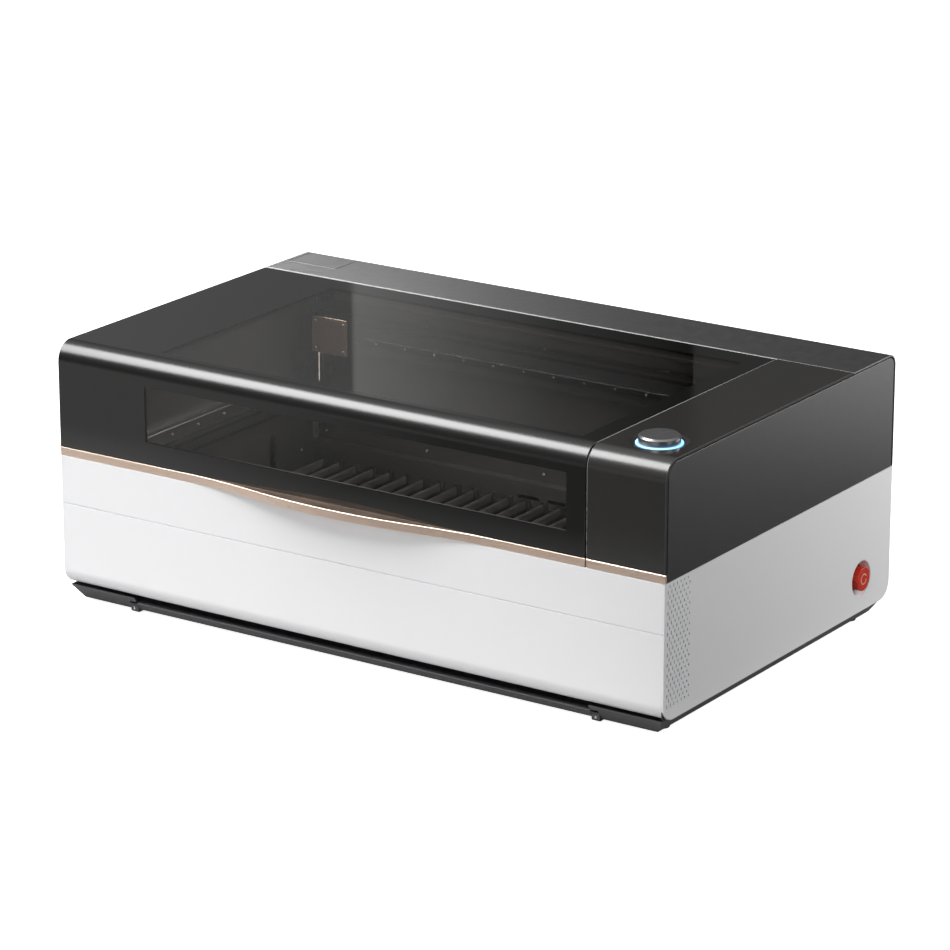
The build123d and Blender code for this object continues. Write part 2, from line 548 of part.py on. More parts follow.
MOTOR = 34.0
motor_left = BEAM_RIGHT - MOTOR - 6
with BuildPart() as x_beam:
    beam_mid = ((Y_BEAM_FRONT + Y_BEAM_BACK) / 2, (Z_BEAM_LOW + Z_BEAM_HIGH) / 2)
    beam_size = (Y_BEAM_BACK - Y_BEAM_FRONT, Z_BEAM_HIGH - Z_BEAM_LOW)
    with BuildSketch(Plane.YZ.offset(BEAM_LEFT)) as beam_section:
        with Locations(beam_mid):
            Rectangle(*beam_size)
            Rectangle(beam_size[0] - 6, beam_size[1] - 6, mode=Mode.SUBTRACT)
    extrude(amount=BEAM_RIGHT - BEAM_LEFT)
    # pocket for the motor
    box_span(
        (motor_left - 1, BEAM_RIGHT - 4),
        (Y_BEAM_FRONT + 3, Y_BEAM_BACK),
        (Z_BEAM_LOW + 3, Z_BEAM_HIGH),
        mode=Mode.SUBTRACT,
    )
save(x_beam, "x_beam")

RAIL_DEPTH = 8.0
x_rail_zs = (364.0, 376.0)
with BuildPart() as x_rail:
    box_span((BEAM_LEFT + 4, BEAM_RIGHT - 4), (Y_BEAM_FRONT - RAIL_DEPTH, Y_BEAM_FRONT), x_rail_zs)
    chamfer(x_rail.edges().filter_by(Axis.X).group_by(Axis.Y)[0], 1.5)
save(x_rail, "x_rail")

motor_ys = (Y_BEAM_FRONT + 3.5, Y_BEAM_FRONT + 3.5 + MOTOR)
motor_mid = (motor_left + MOTOR / 2, sum(motor_ys) / 2)
x_pulley_r = 6.0
with BuildPart() as x_motor:
    box_span((motor_left, motor_left + MOTOR), motor_ys, (Z_BEAM_LOW + 3, Z_BEAM_HIGH - 4))
    chamfer(x_motor.edges().filter_by(Axis.Z), 3)
    cylinder_along(Plane((*motor_mid, Z_BEAM_HIGH - 4)), 2.5, 13)
    cylinder_along(Plane((*motor_mid, Z_BEAM_HIGH + 1)), x_pulley_r, 8)
save(x_motor, "x_motor")

with BuildPart() as x_belt:
    idler_x = BEAM_LEFT + 14
    belt_run = motor_mid[0] - idler_x
    with BuildSketch(Plane.XY.offset(Z_BEAM_HIGH + 2)):
        with Locations(((motor_mid[0] + idler_x) / 2, motor_mid[1])):
            SlotCenterToCenter(belt_run, 2 * (x_pulley_r + BELT_T))
            SlotCenterToCenter(belt_run, 2 * x_pulley_r, mode=Mode.SUBTRACT)
    extrude(amount=BELT_W)
save(x_belt, "x_belt")

# ================================================================ laser head
head_span = (HEAD_X - HEAD_W / 2, HEAD_X + HEAD_W / 2)
carriage_back = Y_BEAM_FRONT - RAIL_DEPTH - RAIL_CLEAR
with BuildPart() as head_carriage:
    box_span((head_span[0] + 3, head_span[1] - 3), (HEAD_Y + 4, carriage_back), (Z_HEAD_LOW - 6, Z_HEAD_HIGH - 4))
    top_jaw = (x_rail_zs[1] + RAIL_CLEAR, x_rail_zs[1] + 9)
    low_jaw = (x_rail_zs[0] - 9, x_rail_zs[0] - RAIL_CLEAR)
    for jaw in (top_jaw, low_jaw):
        box_span((head_span[0] + 3, head_span[1] - 3), (carriage_back, Y_BEAM_FRONT - RAIL_CLEAR), jaw)
    # top arm that grips the belt
    arm_ys = (carriage_back, motor_mid[1] - x_pulley_r - 3)
    box_span((HEAD_X - 12, HEAD_X + 12), arm_ys, (Z_BEAM_HIGH + 3, Z_HEAD_HIGH - 4))
    cylinder_along(Plane((LENS_X, LENS_Y, Z_HEAD_LOW - 7)), LENS_R + RUN, 52, mode=Mode.SUBTRACT)
save(head_carriage, "head_carriage")

with BuildPart() as head_front_plate:
    box_span(head_span, (HEAD_Y, HEAD_Y + 4), (Z_HEAD_LOW, Z_HEAD_HIGH))
    fillet(head_front_plate.edges().filter_by(Axis.Y), 2)
    chamfer(head_front_plate.faces().sort_by(Axis.Y)[0].edges(), 0.6)
save(head_front_plate, "head_front_plate")

FOCUS_TRAVEL = 40.0
with BuildPart() as lens_tube:
    cylinder_along(Plane((LENS_X, LENS_Y, Z_LENS_LOW)), LENS_R, Z_HEAD_LOW + 40 - Z_LENS_LOW)
    cylinder_along(Plane((LENS_X, LENS_Y, Z_LENS_LOW + 4)), LENS_R + 2, 10)
    cylinder_along(Plane((LENS_X, LENS_Y, Z_LENS_LOW)), 6, 80, mode=Mode.SUBTRACT)
save(lens_tube, "lens_tube")

with BuildPart() as nozzle:
    with BuildSketch(Plane.XY.offset(Z_LENS_LOW)):
        with Locations((LENS_X, LENS_Y)):
            Circle(LENS_R - 1)
    with BuildSketch(Plane.XY.offset(Z_NOZZLE)):
        with Locations((LENS_X, LENS_Y)):
            Circle(3.5)
    loft()
    cylinder_along(Plane((LENS_X, LENS_Y, Z_NOZZLE)), 1.5, 12, mode=Mode.SUBTRACT)
save(nozzle, "nozzle")

# ================================================================ rear compartment and side bays
TUBE_Y, TUBE_R, TUBE_LEFT, TUBE_RIGHT = 280.0, 30.0, -405.0, 555.0
with BuildPart() as laser_tube:
    cylinder_along(Plane((TUBE_LEFT, TUBE_Y, BEAM_Z), z_dir=(1, 0, 0)), TUBE_R, TUBE_RIGHT - TUBE_LEFT)
    for end_x in (TUBE_LEFT, TUBE_RIGHT - 34):
        cylinder_along(Plane((end_x, TUBE_Y, BEAM_Z), z_dir=(1, 0, 0)), TUBE_R + 3, 34)
    for port_x in (TUBE_LEFT + 17, TUBE_RIGHT - 17):
        cylinder_along(Plane((port_x, TUBE_Y, BEAM_Z + TUBE_R - 2)), 5, 18)
save(laser_tube, "laser_tube")

with BuildPart() as tube_clamps:
    for clamp_x in (-260.0, 75.0, 410.0):
        with BuildSketch(Plane.YZ.offset(clamp_x)) as clamp:
            with Locations((TUBE_Y, BEAM_Z)):
                Circle(TUBE_R + 8)
            with Locations(((Y_WALL_HIGH + TUBE_Y) / 2, BEAM_Z)):
                Rectangle(TUBE_Y - Y_WALL_HIGH, 30)
            with Locations((TUBE_Y, BEAM_Z)):
                Circle(TUBE_R + 0.1, mode=Mode.SUBTRACT)
        extrude(clamp.sketch, amount=18)
save(tube_clamps, "tube_clamps")

with BuildPart() as first_mirror:
    box_span((MIRROR_X - 24, MIRROR_X + 24), (Y_WALL_HIGH, TUBE_Y + 20), (BEAM_Z - 32, BEAM_Z - 20))
    box_span((MIRROR_X - 16, MIRROR_X + 16), (TUBE_Y - 16, TUBE_Y + 16), (BEAM_Z - 20, BEAM_Z + 18))
    with BuildSketch(Plane.XY.offset(BEAM_Z - 20)) as mirror_bevel:
        with BuildLine():
            corner = (MIRROR_X + 17, TUBE_Y - 17)
            Polyline(corner, (MIRROR_X - 8, corner[1]), (corner[0], TUBE_Y + 8), close=True)
        make_face()
    extrude(mirror_bevel.sketch, amount=38, mode=Mode.SUBTRACT)
save(first_mirror, "first_mirror")

with BuildPart() as high_voltage_supply:
    box_span((345, 485), (224, 317), (Z_CAVITY + 2, 150))
    fillet(high_voltage_supply.edges().filter_by(Axis.Z), 3)
    cylinder_along(Plane((375, 270, 150)), 9, 14)
    box_span((400, 475), (232, 310), (150, 153))
save(high_voltage_supply, "high_voltage_supply")

with BuildPart() as coolant_tank:
    box_span((-574, -478), (220, 317), (Z_CAVITY + 2, 372))
    fillet(coolant_tank.edges().filter_by(Axis.Z), 10)
    cap_mid = ((HATCH_LEFT + HATCH_RIGHT) / 2, 288)
    cylinder_along(Plane((*cap_mid, 372)), 20, 18)
    cylinder_along(Plane((*cap_mid, 380)), 24, 12)
save(coolant_tank, "coolant_tank")

with BuildPart() as control_board:
    board_x = X_WALL_RIGHT + SHEET
    for post_y in (-185, 25):
        for post_z in (160, 300):
            cylinder_along(Plane((board_x, post_y, post_z), z_dir=(1, 0, 0)), 3, 6)
    box_span((board_x + 6, board_x + 7.6), (-195, 35), (150, 310))
    for chip_y, chip_z, width, height, tall in (
        (-150, 250, 40, 40, 9),
        (-80, 262, 30, 22, 6),
        (-20, 240, 24, 50, 14),
        (-110, 180, 90, 14, 12),
        (0, 176, 40, 16, 12),
    ):
        box_span(
            (board_x + 7.6, board_x + 7.6 + tall),
            (chip_y - width / 2, chip_y + width / 2),
            (chip_z - height / 2, chip_z + height / 2),
        )
save(control_board, "control_board")

FAN_YS = (300.0, 344.0)
fan_front = Plane((FAN_X, FAN_YS[0], FAN_Z), x_dir=(1, 0, 0), z_dir=(0, 1, 0))
with BuildPart() as exhaust_fan_housing:
    box_span((FAN_X - 66, FAN_X + 66), FAN_YS, (FAN_Z - 66, FAN_Z + 66))
    fillet(exhaust_fan_housing.edges().filter_by(Axis.Y), 8)
    cylinder_along(fan_front, FAN_R, 44, mode=Mode.SUBTRACT)
    with BuildSketch(fan_front.offset(38)) as struts:
        with PolarLocations(35, 4, start_angle=45):
            Rectangle(60, 7)
        Circle(FAN_R + 2, mode=Mode.INTERSECT)
        Circle(20)
    extrude(struts.sketch, amount=6)
    cylinder_along(fan_front.offset(12), 3, 28)
save(exhaust_fan_housing, "exhaust_fan_housing")

with BuildPart() as exhaust_fan_rotor:
    cylinder_along(fan_front.offset(6), 20, 30)
    with Locations(fan_front.offset(20)):
        with PolarLocations(38, 7):
            Box(37, 3, 26, rotation=(50, 0, 0))
    cylinder_along(fan_front.offset(5), FAN_R - 2, 32, mode=Mode.INTERSECT)
    cylinder_along(fan_front.offset(12 - 0.5), 3 + RUN, 28, mode=Mode.SUBTRACT)
save(exhaust_fan_rotor, "exhaust_fan_rotor")

with BuildPart() as exhaust_collar:
    collar_base = fan_front.offset(FAN_YS[1] - FAN_YS[0])
    cylinder_along(collar_base, 60, 3)
    cylinder_along(collar_base, COLLAR_R, COLLAR_END - FAN_YS[1])
    cylinder_along(collar_base, COLLAR_R - 2.5, COLLAR_END - FAN_YS[1], mode=Mode.SUBTRACT)
save(exhaust_collar, "exhaust_collar")

with BuildPart() as power_inlet:
    box_span((INLET_X - 23.5, INLET_X + 23.5), (325, Y_BACK), (INLET_Z - 29.5, INLET_Z + 29.5))
    box_span((INLET_X - 28, INLET_X + 28), (Y_BACK, Y_BACK + 2.5), (INLET_Z - 34, INLET_Z + 34))
    fillet(power_inlet.edges().filter_by(Axis.Y).group_by(SortBy.LENGTH)[0], 2)
    socket = (INLET_Z - 20, INLET_Z - 1)
    box_span((INLET_X - 13, INLET_X + 13), (Y_BACK - 17, Y_BACK + 3), socket, mode=Mode.SUBTRACT)
    for pin_x, pin_z in ((INLET_X - 7, INLET_Z - 8), (INLET_X + 7, INLET_Z - 8), (INLET_X, INLET_Z - 13)):
        box_span((pin_x - 1, pin_x + 1), (Y_BACK - 18, Y_BACK - 2), (pin_z - 2, pin_z + 2))
    box_span((INLET_X - 10, INLET_X + 10), (Y_BACK + 2.5, Y_BACK + 5), (INLET_Z + 6, INLET_Z + 26))
save(power_inlet, "power_inlet")

with BuildPart() as light_bar:
    box_span((-425, 395), (190, Y_WALL_HIGH - SHEET), (418, Z_REAR_TOP + 2))
    chamfer(light_bar.edges().filter_by(Axis.X).group_by(Axis.Y)[0], 4)
save(light_bar, "light_bar")

# ================================================================ start button
STEM_R, BUTTON_TOP, BUTTON_LOW = 8.0, 461.5, 446.0
button_axis = Axis((BUTTON_X, BUTTON_Y, 0), (0, 0, 1))


def turned(points):
    """Solid of revolution about the start button's axis, from (radius, z) points, in the active part."""
    with BuildSketch(Plane((BUTTON_X, BUTTON_Y, 0), x_dir=(1, 0, 0), z_dir=(0, -1, 0))) as profile:
        with BuildLine():
            Polyline(*points, close=True)
        make_face()
    revolve(profile.sketch, axis=button_axis)


RING_IN, RING_OUT = 33.8, 37.0
with BuildPart() as button_bezel:
    turned(
        [
            (STEM_R + RUN, 436),
            (DISH_R, 436),
            (DISH_R, Z_TOP),
            (RING_OUT, Z_TOP - 2.4),
            (RING_OUT, 441),
            (STEM_R + RUN, 441),
        ]
    )
save(button_bezel, "button_bezel")

with BuildPart() as button_light_ring:
    turned([(RING_IN, 441), (RING_OUT, 441), (RING_OUT, Z_TOP - 1.4), (RING_IN, Z_TOP - 1.0)])
save(button_light_ring, "button_light_ring")

with BuildPart() as start_button:
    turned(
        [
            (0, BUTTON_TOP),
            (BUTTON_R - 3, BUTTON_TOP),
            (BUTTON_R, BUTTON_TOP - 2.6),
            (BUTTON_R, BUTTON_LOW),
            (STEM_R, BUTTON_LOW),
            (STEM_R, 428),
            (0, 428),
        ]
    )
save(start_button, "start_button")

# ================================================================ emergency stop
STOP_STEM_R, HEAD_BACK, HEAD_FACE = 6.0, 574.0, 590.0
stop_plane = Plane((0, STOP_Y, STOP_Z), x_dir=(0, 1, 0), z_dir=(1, 0, 0))

with BuildPart() as estop_cup:
    with BuildSketch(Plane((0, STOP_Y, STOP_Z), x_dir=(0, 1, 0), z_dir=(0, 0, 1))) as cup_profile:
        with BuildLine():
            Polyline(
                (STOP_STEM_R + RUN, -558),
                (STOP_CUP_R, -558),
                (STOP_CUP_R, -HALF_WIDTH),
                (STOP_CUP_R - 1.5, -HALF_WIDTH),
                (STOP_HEAD_R + 1.5, -567),
                (STOP_STEM_R + RUN, -567),
                close=True,
            )
        make_face()
    revolve(cup_profile.sketch, axis=Axis((0, STOP_Y, STOP_Z), (1, 0, 0)))
save(estop_cup, "estop_cup")

with BuildPart() as estop_stem:
    cylinder_along(stop_plane.offset(540), STOP_STEM_R, 42)
save(estop_stem, "estop_stem")

with BuildPart() as estop_head:
    with BuildSketch(stop_plane.offset(HEAD_BACK)) as knob:
        Circle(STOP_HEAD_R)
        with PolarLocations(STOP_HEAD_R + 0.6, 20):
            Circle(1.4, mode=Mode.SUBTRACT)
    extrude(knob.sketch, amount=HEAD_FACE - HEAD_BACK)
    fillet(estop_head.faces().sort_by(Axis.X)[-1].edges(), 1)
    cylinder_along(stop_plane.offset(HEAD_BACK), STOP_STEM_R + RUN, 8.3, mode=Mode.SUBTRACT)
save(estop_head, "estop_head")
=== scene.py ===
"""Looks of the desktop laser cutter: materials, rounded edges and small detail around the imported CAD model.

Metres, in the frame of the CAD model: +X is the operator's right, +Y the back and +Z up.
"""

import json
import math

import bmesh
import bpy
from mathutils import Matrix, Vector


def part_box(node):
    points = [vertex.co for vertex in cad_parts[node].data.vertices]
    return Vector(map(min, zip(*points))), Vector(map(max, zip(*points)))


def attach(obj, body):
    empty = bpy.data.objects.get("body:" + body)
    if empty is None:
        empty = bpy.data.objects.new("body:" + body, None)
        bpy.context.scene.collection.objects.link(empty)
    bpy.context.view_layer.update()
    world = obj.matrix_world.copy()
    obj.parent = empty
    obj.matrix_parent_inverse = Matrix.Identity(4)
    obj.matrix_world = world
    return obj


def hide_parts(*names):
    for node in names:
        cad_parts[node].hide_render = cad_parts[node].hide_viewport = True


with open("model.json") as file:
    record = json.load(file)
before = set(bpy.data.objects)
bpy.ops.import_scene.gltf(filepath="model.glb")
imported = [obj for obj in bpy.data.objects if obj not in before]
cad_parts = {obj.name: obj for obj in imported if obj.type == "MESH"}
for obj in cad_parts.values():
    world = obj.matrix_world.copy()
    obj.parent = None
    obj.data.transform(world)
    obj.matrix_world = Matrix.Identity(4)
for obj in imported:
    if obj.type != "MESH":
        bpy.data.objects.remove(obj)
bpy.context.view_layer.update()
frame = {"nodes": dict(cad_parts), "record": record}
NODES = frame["nodes"]
BODY_OF = {n: body for body, nodes in frame["record"]["behaviour"]["bodies"].items() for n in nodes}
SLOT_OF = {entry["node"]: entry["material_slot"] for entry in frame["record"]["subparts"]}

MM = 0.001
UP, LEFT, RIGHT, FRONT, BACK = (0, 0, 1), (-1, 0, 0), (1, 0, 0), (0, -1, 0), (0, 1, 0)
BOTH = (-1, 1)
FAR = 2000.0  # millimetres, past every piece

# Places on the CAD model, in millimetres.
BEND_Y, BEND_Z = -331, 417  # in front of and above these, the lid and the console curve
CONSOLE_LEFT = 443.5
CONSOLE_CUT_RIGHT, CONSOLE_CUT_LEFT = 582.8, 444.5  # its cut edges are outside these
COMBS = ((145.5, 150.5), (-296.5, -291.5))  # across the bed's two slat combs
STOP_Y, STOP_Z, STOP_FACE = 253, 89, 589.5
HEAD_X = -374
ROD_Y, ROD_TOP = 106, 352  # the two rods under the head
# x of the thin rod under the head that glows: a painted highlight, no lamp
GLOWING_ROD_X = -397

# ---------------------------------------------------------------- camera
CAMERA_PLACE = (3.7789, -5.6414, 2.4133)
CAMERA_YAW, CAMERA_PITCH = 33.851, 17.829  # degrees round +Z, and down
CAMERA_LENS, CAMERA_SENSOR = 163.88, 36.0  # millimetres


def make_camera():
    data = bpy.data.cameras.new("camera")
    data.lens = CAMERA_LENS
    data.sensor_width = CAMERA_SENSOR
    data.clip_end = 100
    camera = bpy.data.objects.new("camera", data)
    camera.location = CAMERA_PLACE
    camera.rotation_euler = (math.radians(90 - CAMERA_PITCH), 0, math.radians(CAMERA_YAW))
    bpy.context.scene.collection.objects.link(camera)
    bpy.context.scene.camera = camera


# ---------------------------------------------------------------- meshes
def mesh_from(bm, name, smooth_angle=35):
    """Object from a bmesh, smooth except where its faces meet at more than the angle."""
    bmesh.ops.recalc_face_normals(bm, faces=bm.faces)
    mesh = bpy.data.meshes.new(name)
    bm.to_mesh(mesh)
    bm.free()
    mesh.shade_smooth()
    mesh.set_sharp_from_angle(angle=math.radians(smooth_angle))
    piece = bpy.data.objects.new(name, mesh)
    bpy.context.scene.collection.objects.link(piece)
    return piece


def finished(node, width, angle=32):
    """Copy of a CAD piece with its sharp edges rounded. It replaces the CAD piece, on the same body."""
    bm = bmesh.new()
    bm.from_mesh(NODES[node].data)
    bmesh.ops.remove_doubles(bm, verts=bm.verts, dist=1e-6)
    bmesh.ops.dissolve_limit(bm, angle_limit=math.radians(0.4), verts=bm.verts, edges=bm.edges)
    piece = mesh_from(bm, node + "_shell", smooth_angle=angle)
    bevel = piece.modifiers.new("rounded edges", "BEVEL")
    bevel.width = width
    bevel.segments = 2
    bevel.limit_method = "ANGLE"
    bevel.angle_limit = math.radians(angle)
    flat = piece.modifiers.new("flat faces stay flat", "WEIGHTED_NORMAL")
    flat.keep_sharp = True
    flat.weight = 100
    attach(piece, BODY_OF[node])
    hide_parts(node)
    dress(piece, SLOT_OF[node])


def turned(bm, profile, start, axis, steps=24):
    """Adds the surface swept by (radius, height) points about an axis. Its ends are on the axis."""
    axis = Vector(axis).normalized()
    side = axis.orthogonal().normalized()
    other = axis.cross(side)
    rings = []
    for radius, height in profile:
        middle = Vector(start) + axis * height
        if radius == 0:
            rings.append([bm.verts.new(middle)] * steps)
            continue
        ring = []
        for step in range(steps):
            turn = 2 * math.pi * step / steps
            ring.append(bm.verts.new(middle + (side * math.cos(turn) + other * math.sin(turn)) * radius))
        rings.append(ring)
    for low, high in zip(rings, rings[1:]):
        for step in range(steps):
            corners = [low[step], low[(step + 1) % steps], high[(step + 1) % steps], high[step]]
            bm.faces.new(list(dict.fromkeys(corners)))


def block(bm, low, high):
    """Adds a box between two corners."""
    made = bmesh.ops.create_cube(bm, size=1)["verts"]
    bmesh.ops.scale(bm, vec=high - low, verts=made)
    bmesh.ops.translate(bm, vec=(low + high) / 2, verts=made)


# ---------------------------------------------------------------- materials
def grey(level):
    return (level, level, level, 1)


class Look:
    """A Principled material and the nodes that vary it. Coordinates are the object's own, in metres."""

    def __init__(self, name, color, roughness, metallic=0.0, **sockets):
        self.material = bpy.data.materials.new(name)
        self.material.use_nodes = True
        self.tree = self.material.node_tree
        self.shader = self.tree.nodes["Principled BSDF"]
        self.color = (*color, 1)
        self.put("Base Color", self.color)
        self.put("Roughness", roughness)
        self.put("Metallic", metallic)
        for socket, value in sockets.items():
            self.put(socket.replace("_", " "), value)
        self.place = self.node("ShaderNodeTexCoord").outputs["Object"]

    def put(self, socket, value):
        self.shader.inputs[socket].default_value = value

    def feed(self, socket, value):
        """Drives a socket of the shader with a node's output."""
        self.tree.links.new(value, self.shader.inputs[socket])

    def node(self, kind, **inputs):
        made = self.tree.nodes.new(kind)
        for name, value in inputs.items():
            target = made.inputs[name.replace("_", " ")]
            if isinstance(value, bpy.types.NodeSocket):
                self.tree.links.new(value, target)
            else:
                target.default_value = value
        return made

    def noise(self, scale, detail=3.0, stretch=(1, 1, 1)):
        """Noise value. A small stretch draws the grain out along that axis."""
        mapping = self.node("ShaderNodeMapping", Vector=self.place, Scale=stretch)
        return self.node(
            "ShaderNodeTexNoise", Vector=mapping.outputs["Vector"], Scale=scale, Detail=detail
        ).outputs["Fac"]

    def ranged(self, value, low, high, from_low=0.3, from_high=0.7):
        made = self.node("ShaderNodeMapRange", Value=value)
        made.inputs["From Min"].default_value = from_low
        made.inputs["From Max"].default_value = from_high
        made.inputs["To Min"].default_value = low
        made.inputs["To Max"].default_value = high
        return made.outputs["Result"]

    def mixed(self, factor, first, second):
        made = self.tree.nodes.new("ShaderNodeMix")
        made.data_type = "RGBA"
        for place, value in ((0, factor), (6, first), (7, second)):
            if isinstance(value, bpy.types.NodeSocket):
                self.tree.links.new(value, made.inputs[place])
            else:
                made.inputs[place].default_value = value
        return made.outputs[2]

    def math(self, operation, first, second=0.0):
        made = self.tree.nodes.new("ShaderNodeMath")
        made.operation = operation
        for place, value in enumerate((first, second)):
            if isinstance(value, bpy.types.NodeSocket):
                self.tree.links.new(value, made.inputs[place])
            else:
                made.inputs[place].default_value = value
        return made.outputs[0]

    def within(self, **spans):
        """1 between the given limits of X, Y or Z, and 0 outside them."""
        split = self.node("ShaderNodeSeparateXYZ", Vector=self.place)
        inside = 1.0
        for axis, (low, high) in spans.items():
            above = self.math("GREATER_THAN", split.outputs[axis], low * MM)
            below = self.math("LESS_THAN", split.outputs[axis], high * MM)
            inside = self.math("MULTIPLY", inside, self.math("MULTIPLY", above, below))
        return inside

    def along(self, axis, stops, brightest=1.0):
        """Grey along an axis, through (place in metres, level) stops, as a share of the brightest level."""
        split = self.node("ShaderNodeSeparateXYZ", Vector=self.place)
        start, end = stops[0][0], stops[-1][0]
        ramp = self.node("ShaderNodeValToRGB", Fac=self.ranged(split.outputs[axis], 0, 1, start, end))
        shades = [((place - start) / (end - start), grey(level / brightest)) for place, level in stops]
        marks = ramp.color_ramp.elements
        marks[0].color = shades[0][1]
        marks[1].color = shades[-1][1]
        for place, shade in shades[1:-1]:
            marks.new(place).color = shade
        return ramp.outputs["Color"]

    def tint(self, value, share):
        """Base colour that drifts by a share to darker and lighter with a 0..1 value."""
        dark = tuple(c * (1 - share) for c in self.color[:3]) + (1,)
        light = tuple(min(1, c * (1 + share)) for c in self.color[:3]) + (1,)
        self.feed("Base Color", self.mixed(value, dark, light))

    def rough(self, value, low, high):
        self.feed("Roughness", self.ranged(value, low, high))

    def bump(self, value, strength, height):
        made = self.node("ShaderNodeBump", Height=value, Strength=strength)
        made.inputs["Distance"].default_value = height
        self.feed("Normal", made.outputs["Normal"])


def paint(name, color, roughness, grain=900, metallic=0.0, share=0.05, dents=0.25, **sockets):
    """Sprayed or powder-coated sheet: fine orange peel, faint drift of tone and gloss."""
    look = Look(name, color, roughness, metallic, **sockets)
    look.tint(look.noise(6, 4), share)
    look.rough(look.noise(60, 5), roughness - 0.03, roughness + 0.03)
    look.bump(look.noise(grain, 2), dents, 0.05 * MM)
    return look.material


def console_gloss():
    """Gloss black cover of the console. Its cut edges are left dull, and the one beside the lid carries a
    painted highlight, a light grey strip.
    """
    look = Look("console_gloss", (0.014, 0.013, 0.012), 0.2, IOR=1.65)
    # painted highlight: a light grey strip down the cover's edge beside the lid
    painted_edge_highlight = look.within(X=(-FAR, CONSOLE_LEFT + 0.7), Z=(-FAR, 440))
    black = look.mixed(look.noise(6), (0.021, 0.020, 0.019, 1), (0.024, 0.023, 0.022, 1))
    look.feed("Base Color", look.mixed(painted_edge_highlight, black, (0.30, 0.29, 0.28, 1)))
    bend = look.within(Y=(-FAR, BEND_Y), Z=(BEND_Z, FAR))
    cut = look.math("ADD", look.within(X=(CONSOLE_CUT_RIGHT, FAR)), look.within(X=(-FAR, CONSOLE_CUT_LEFT)))
    dull = look.math("MULTIPLY", cut, 0.9)
    look.feed("Roughness", look.math("MAXIMUM", look.ranged(bend, 0.14, 0.27, 0, 1), dull))
    return look.material


def brushed(name, color, roughness, along=RIGHT, metallic=1.0, share=0.12, grain=900):
    """Drawn or brushed metal: fine lines along one axis."""
    look = Look(name, color, roughness, metallic)
    stretch = tuple(0.02 if part else 1.0 for part in along)
    lines = look.noise(grain, 4, stretch)
    look.tint(lines, share)
    look.rough(lines, roughness - 0.07, roughness + 0.09)
    look.bump(lines, 0.2, 0.02 * MM)
    return look.material


def rail_aluminium():
    """Drawn aluminium. The gantry's own rail, between the end plates, is anodised black."""
    look = Look("rail_aluminium", (0.62, 0.62, 0.63), 0.32, 1.0)
    lines = look.noise(5000, 2, (1, 0.01, 1))
    dark = look.within(X=(-452, 417), Y=(100, 160))
    drawn = look.mixed(lines, (0.55, 0.55, 0.56, 1), (0.68, 0.68, 0.69, 1))
    look.feed("Base Color", look.mixed(dark, drawn, (0.05, 0.05, 0.052, 1)))
    look.rough(lines, 0.28, 0.40)
    return look.material


def bed_aluminium():
    """Rolled aluminium of the bed, bright along the top of the slats and dark lower down. Its combs are grey.
    """
    look = Look("bed_aluminium", (0.60, 0.60, 0.59), 0.36, 0.9)
    lines = look.noise(4000, 3, (1, 0.01, 1))
    split = look.node("ShaderNodeSeparateXYZ", Vector=look.place)
    drift = look.math("ADD", split.outputs["Z"], look.math("MULTIPLY", look.noise(30, 4), 6 * MM))
    # dark below a ragged height of 131 to 138 mm, bright above it
    high_on_slat = look.ranged(drift, 0, 1, 131 * MM, 138 * MM)
    bright = look.mixed(lines, (0.56, 0.56, 0.55, 1), (0.72, 0.72, 0.71, 1))
    comb = look.math("ADD", look.within(Y=COMBS[0]), look.within(Y=COMBS[1]))
    bright = look.mixed(comb, bright, (0.17, 0.17, 0.165, 1))
    look.feed("Base Color", look.mixed(high_on_slat, (0.10, 0.095, 0.09, 1), bright))
    look.rough(lines, 0.32, 0.46)
    return look.material


def plastic(name, color, roughness, grain=1500, share=0.06, dents=0.2, **sockets):
    """Moulded plastic with a fine spark-eroded texture."""
    look = Look(name, color, roughness, **sockets)
    look.tint(look.noise(14, 5), share)
    look.rough(look.noise(200, 3), roughness - 0.05, roughness + 0.06)
    look.bump(look.noise(grain, 3), dents, 0.04 * MM)
    return look.material


GLASS_TINT = (0.40, 0.385, 0.365)
WINDOW_X = (-406.5, 406.5)
TOP_WINDOW = {"X": WINDOW_X, "Y": (-319.5, 159), "Z": (440, FAR)}
FRONT_WINDOW = {"X": WINDOW_X, "Y": (-FAR, -350), "Z": (309.5, 404)}


def smoked_glass():
    """Tinted glass with an opaque black border printed round its two windows.

    Rays from lamps pass straight through the windows, dimmed, so that what is inside is lit.
    """
    look = Look("smoked_glass", GLASS_TINT, 0.012, IOR=1.45, Transmission_Weight=1.0)
    through = look.node("ShaderNodeBsdfTransparent", Color=(*GLASS_TINT, 1))
    path = look.node("ShaderNodeLightPath")
    clear = look.node("ShaderNodeMixShader", Fac=path.outputs["Is Shadow Ray"])
    look.tree.links.new(look.shader.outputs[0], clear.inputs[1])
    look.tree.links.new(through.outputs[0], clear.inputs[2])

    printed = look.node("ShaderNodeBsdfPrincipled")
    printed.inputs["IOR"].default_value = 1.65
    ink = look.mixed(look.noise(5, 3), (0.006, 0.006, 0.0055, 1), (0.008, 0.008, 0.0075, 1))
    look.tree.links.new(ink, printed.inputs["Base Color"])
    bend = look.within(Y=(-FAR, BEND_Y), Z=(BEND_Z, FAR))
    look.tree.links.new(look.ranged(bend, 0.06, 0.27, 0, 1), printed.inputs["Roughness"])

    window = look.math("ADD", look.within(**TOP_WINDOW), look.within(**FRONT_WINDOW))
    both = look.node("ShaderNodeMixShader", Fac=window)
    look.tree.links.new(printed.outputs[0], both.inputs[1])
    look.tree.links.new(clear.outputs[0], both.inputs[2])
    look.tree.links.new(both.outputs[0], look.tree.nodes["Material Output"].inputs["Surface"])
    return look.material


def tube_glass():
    """Clear borosilicate of the laser tube."""
    look = Look("tube_glass", (0.85, 0.90, 0.90), 0.03, IOR=1.47, Transmission_Weight=0.9)
    look.rough(look.noise(20, 3), 0.02, 0.06)
    return look.material


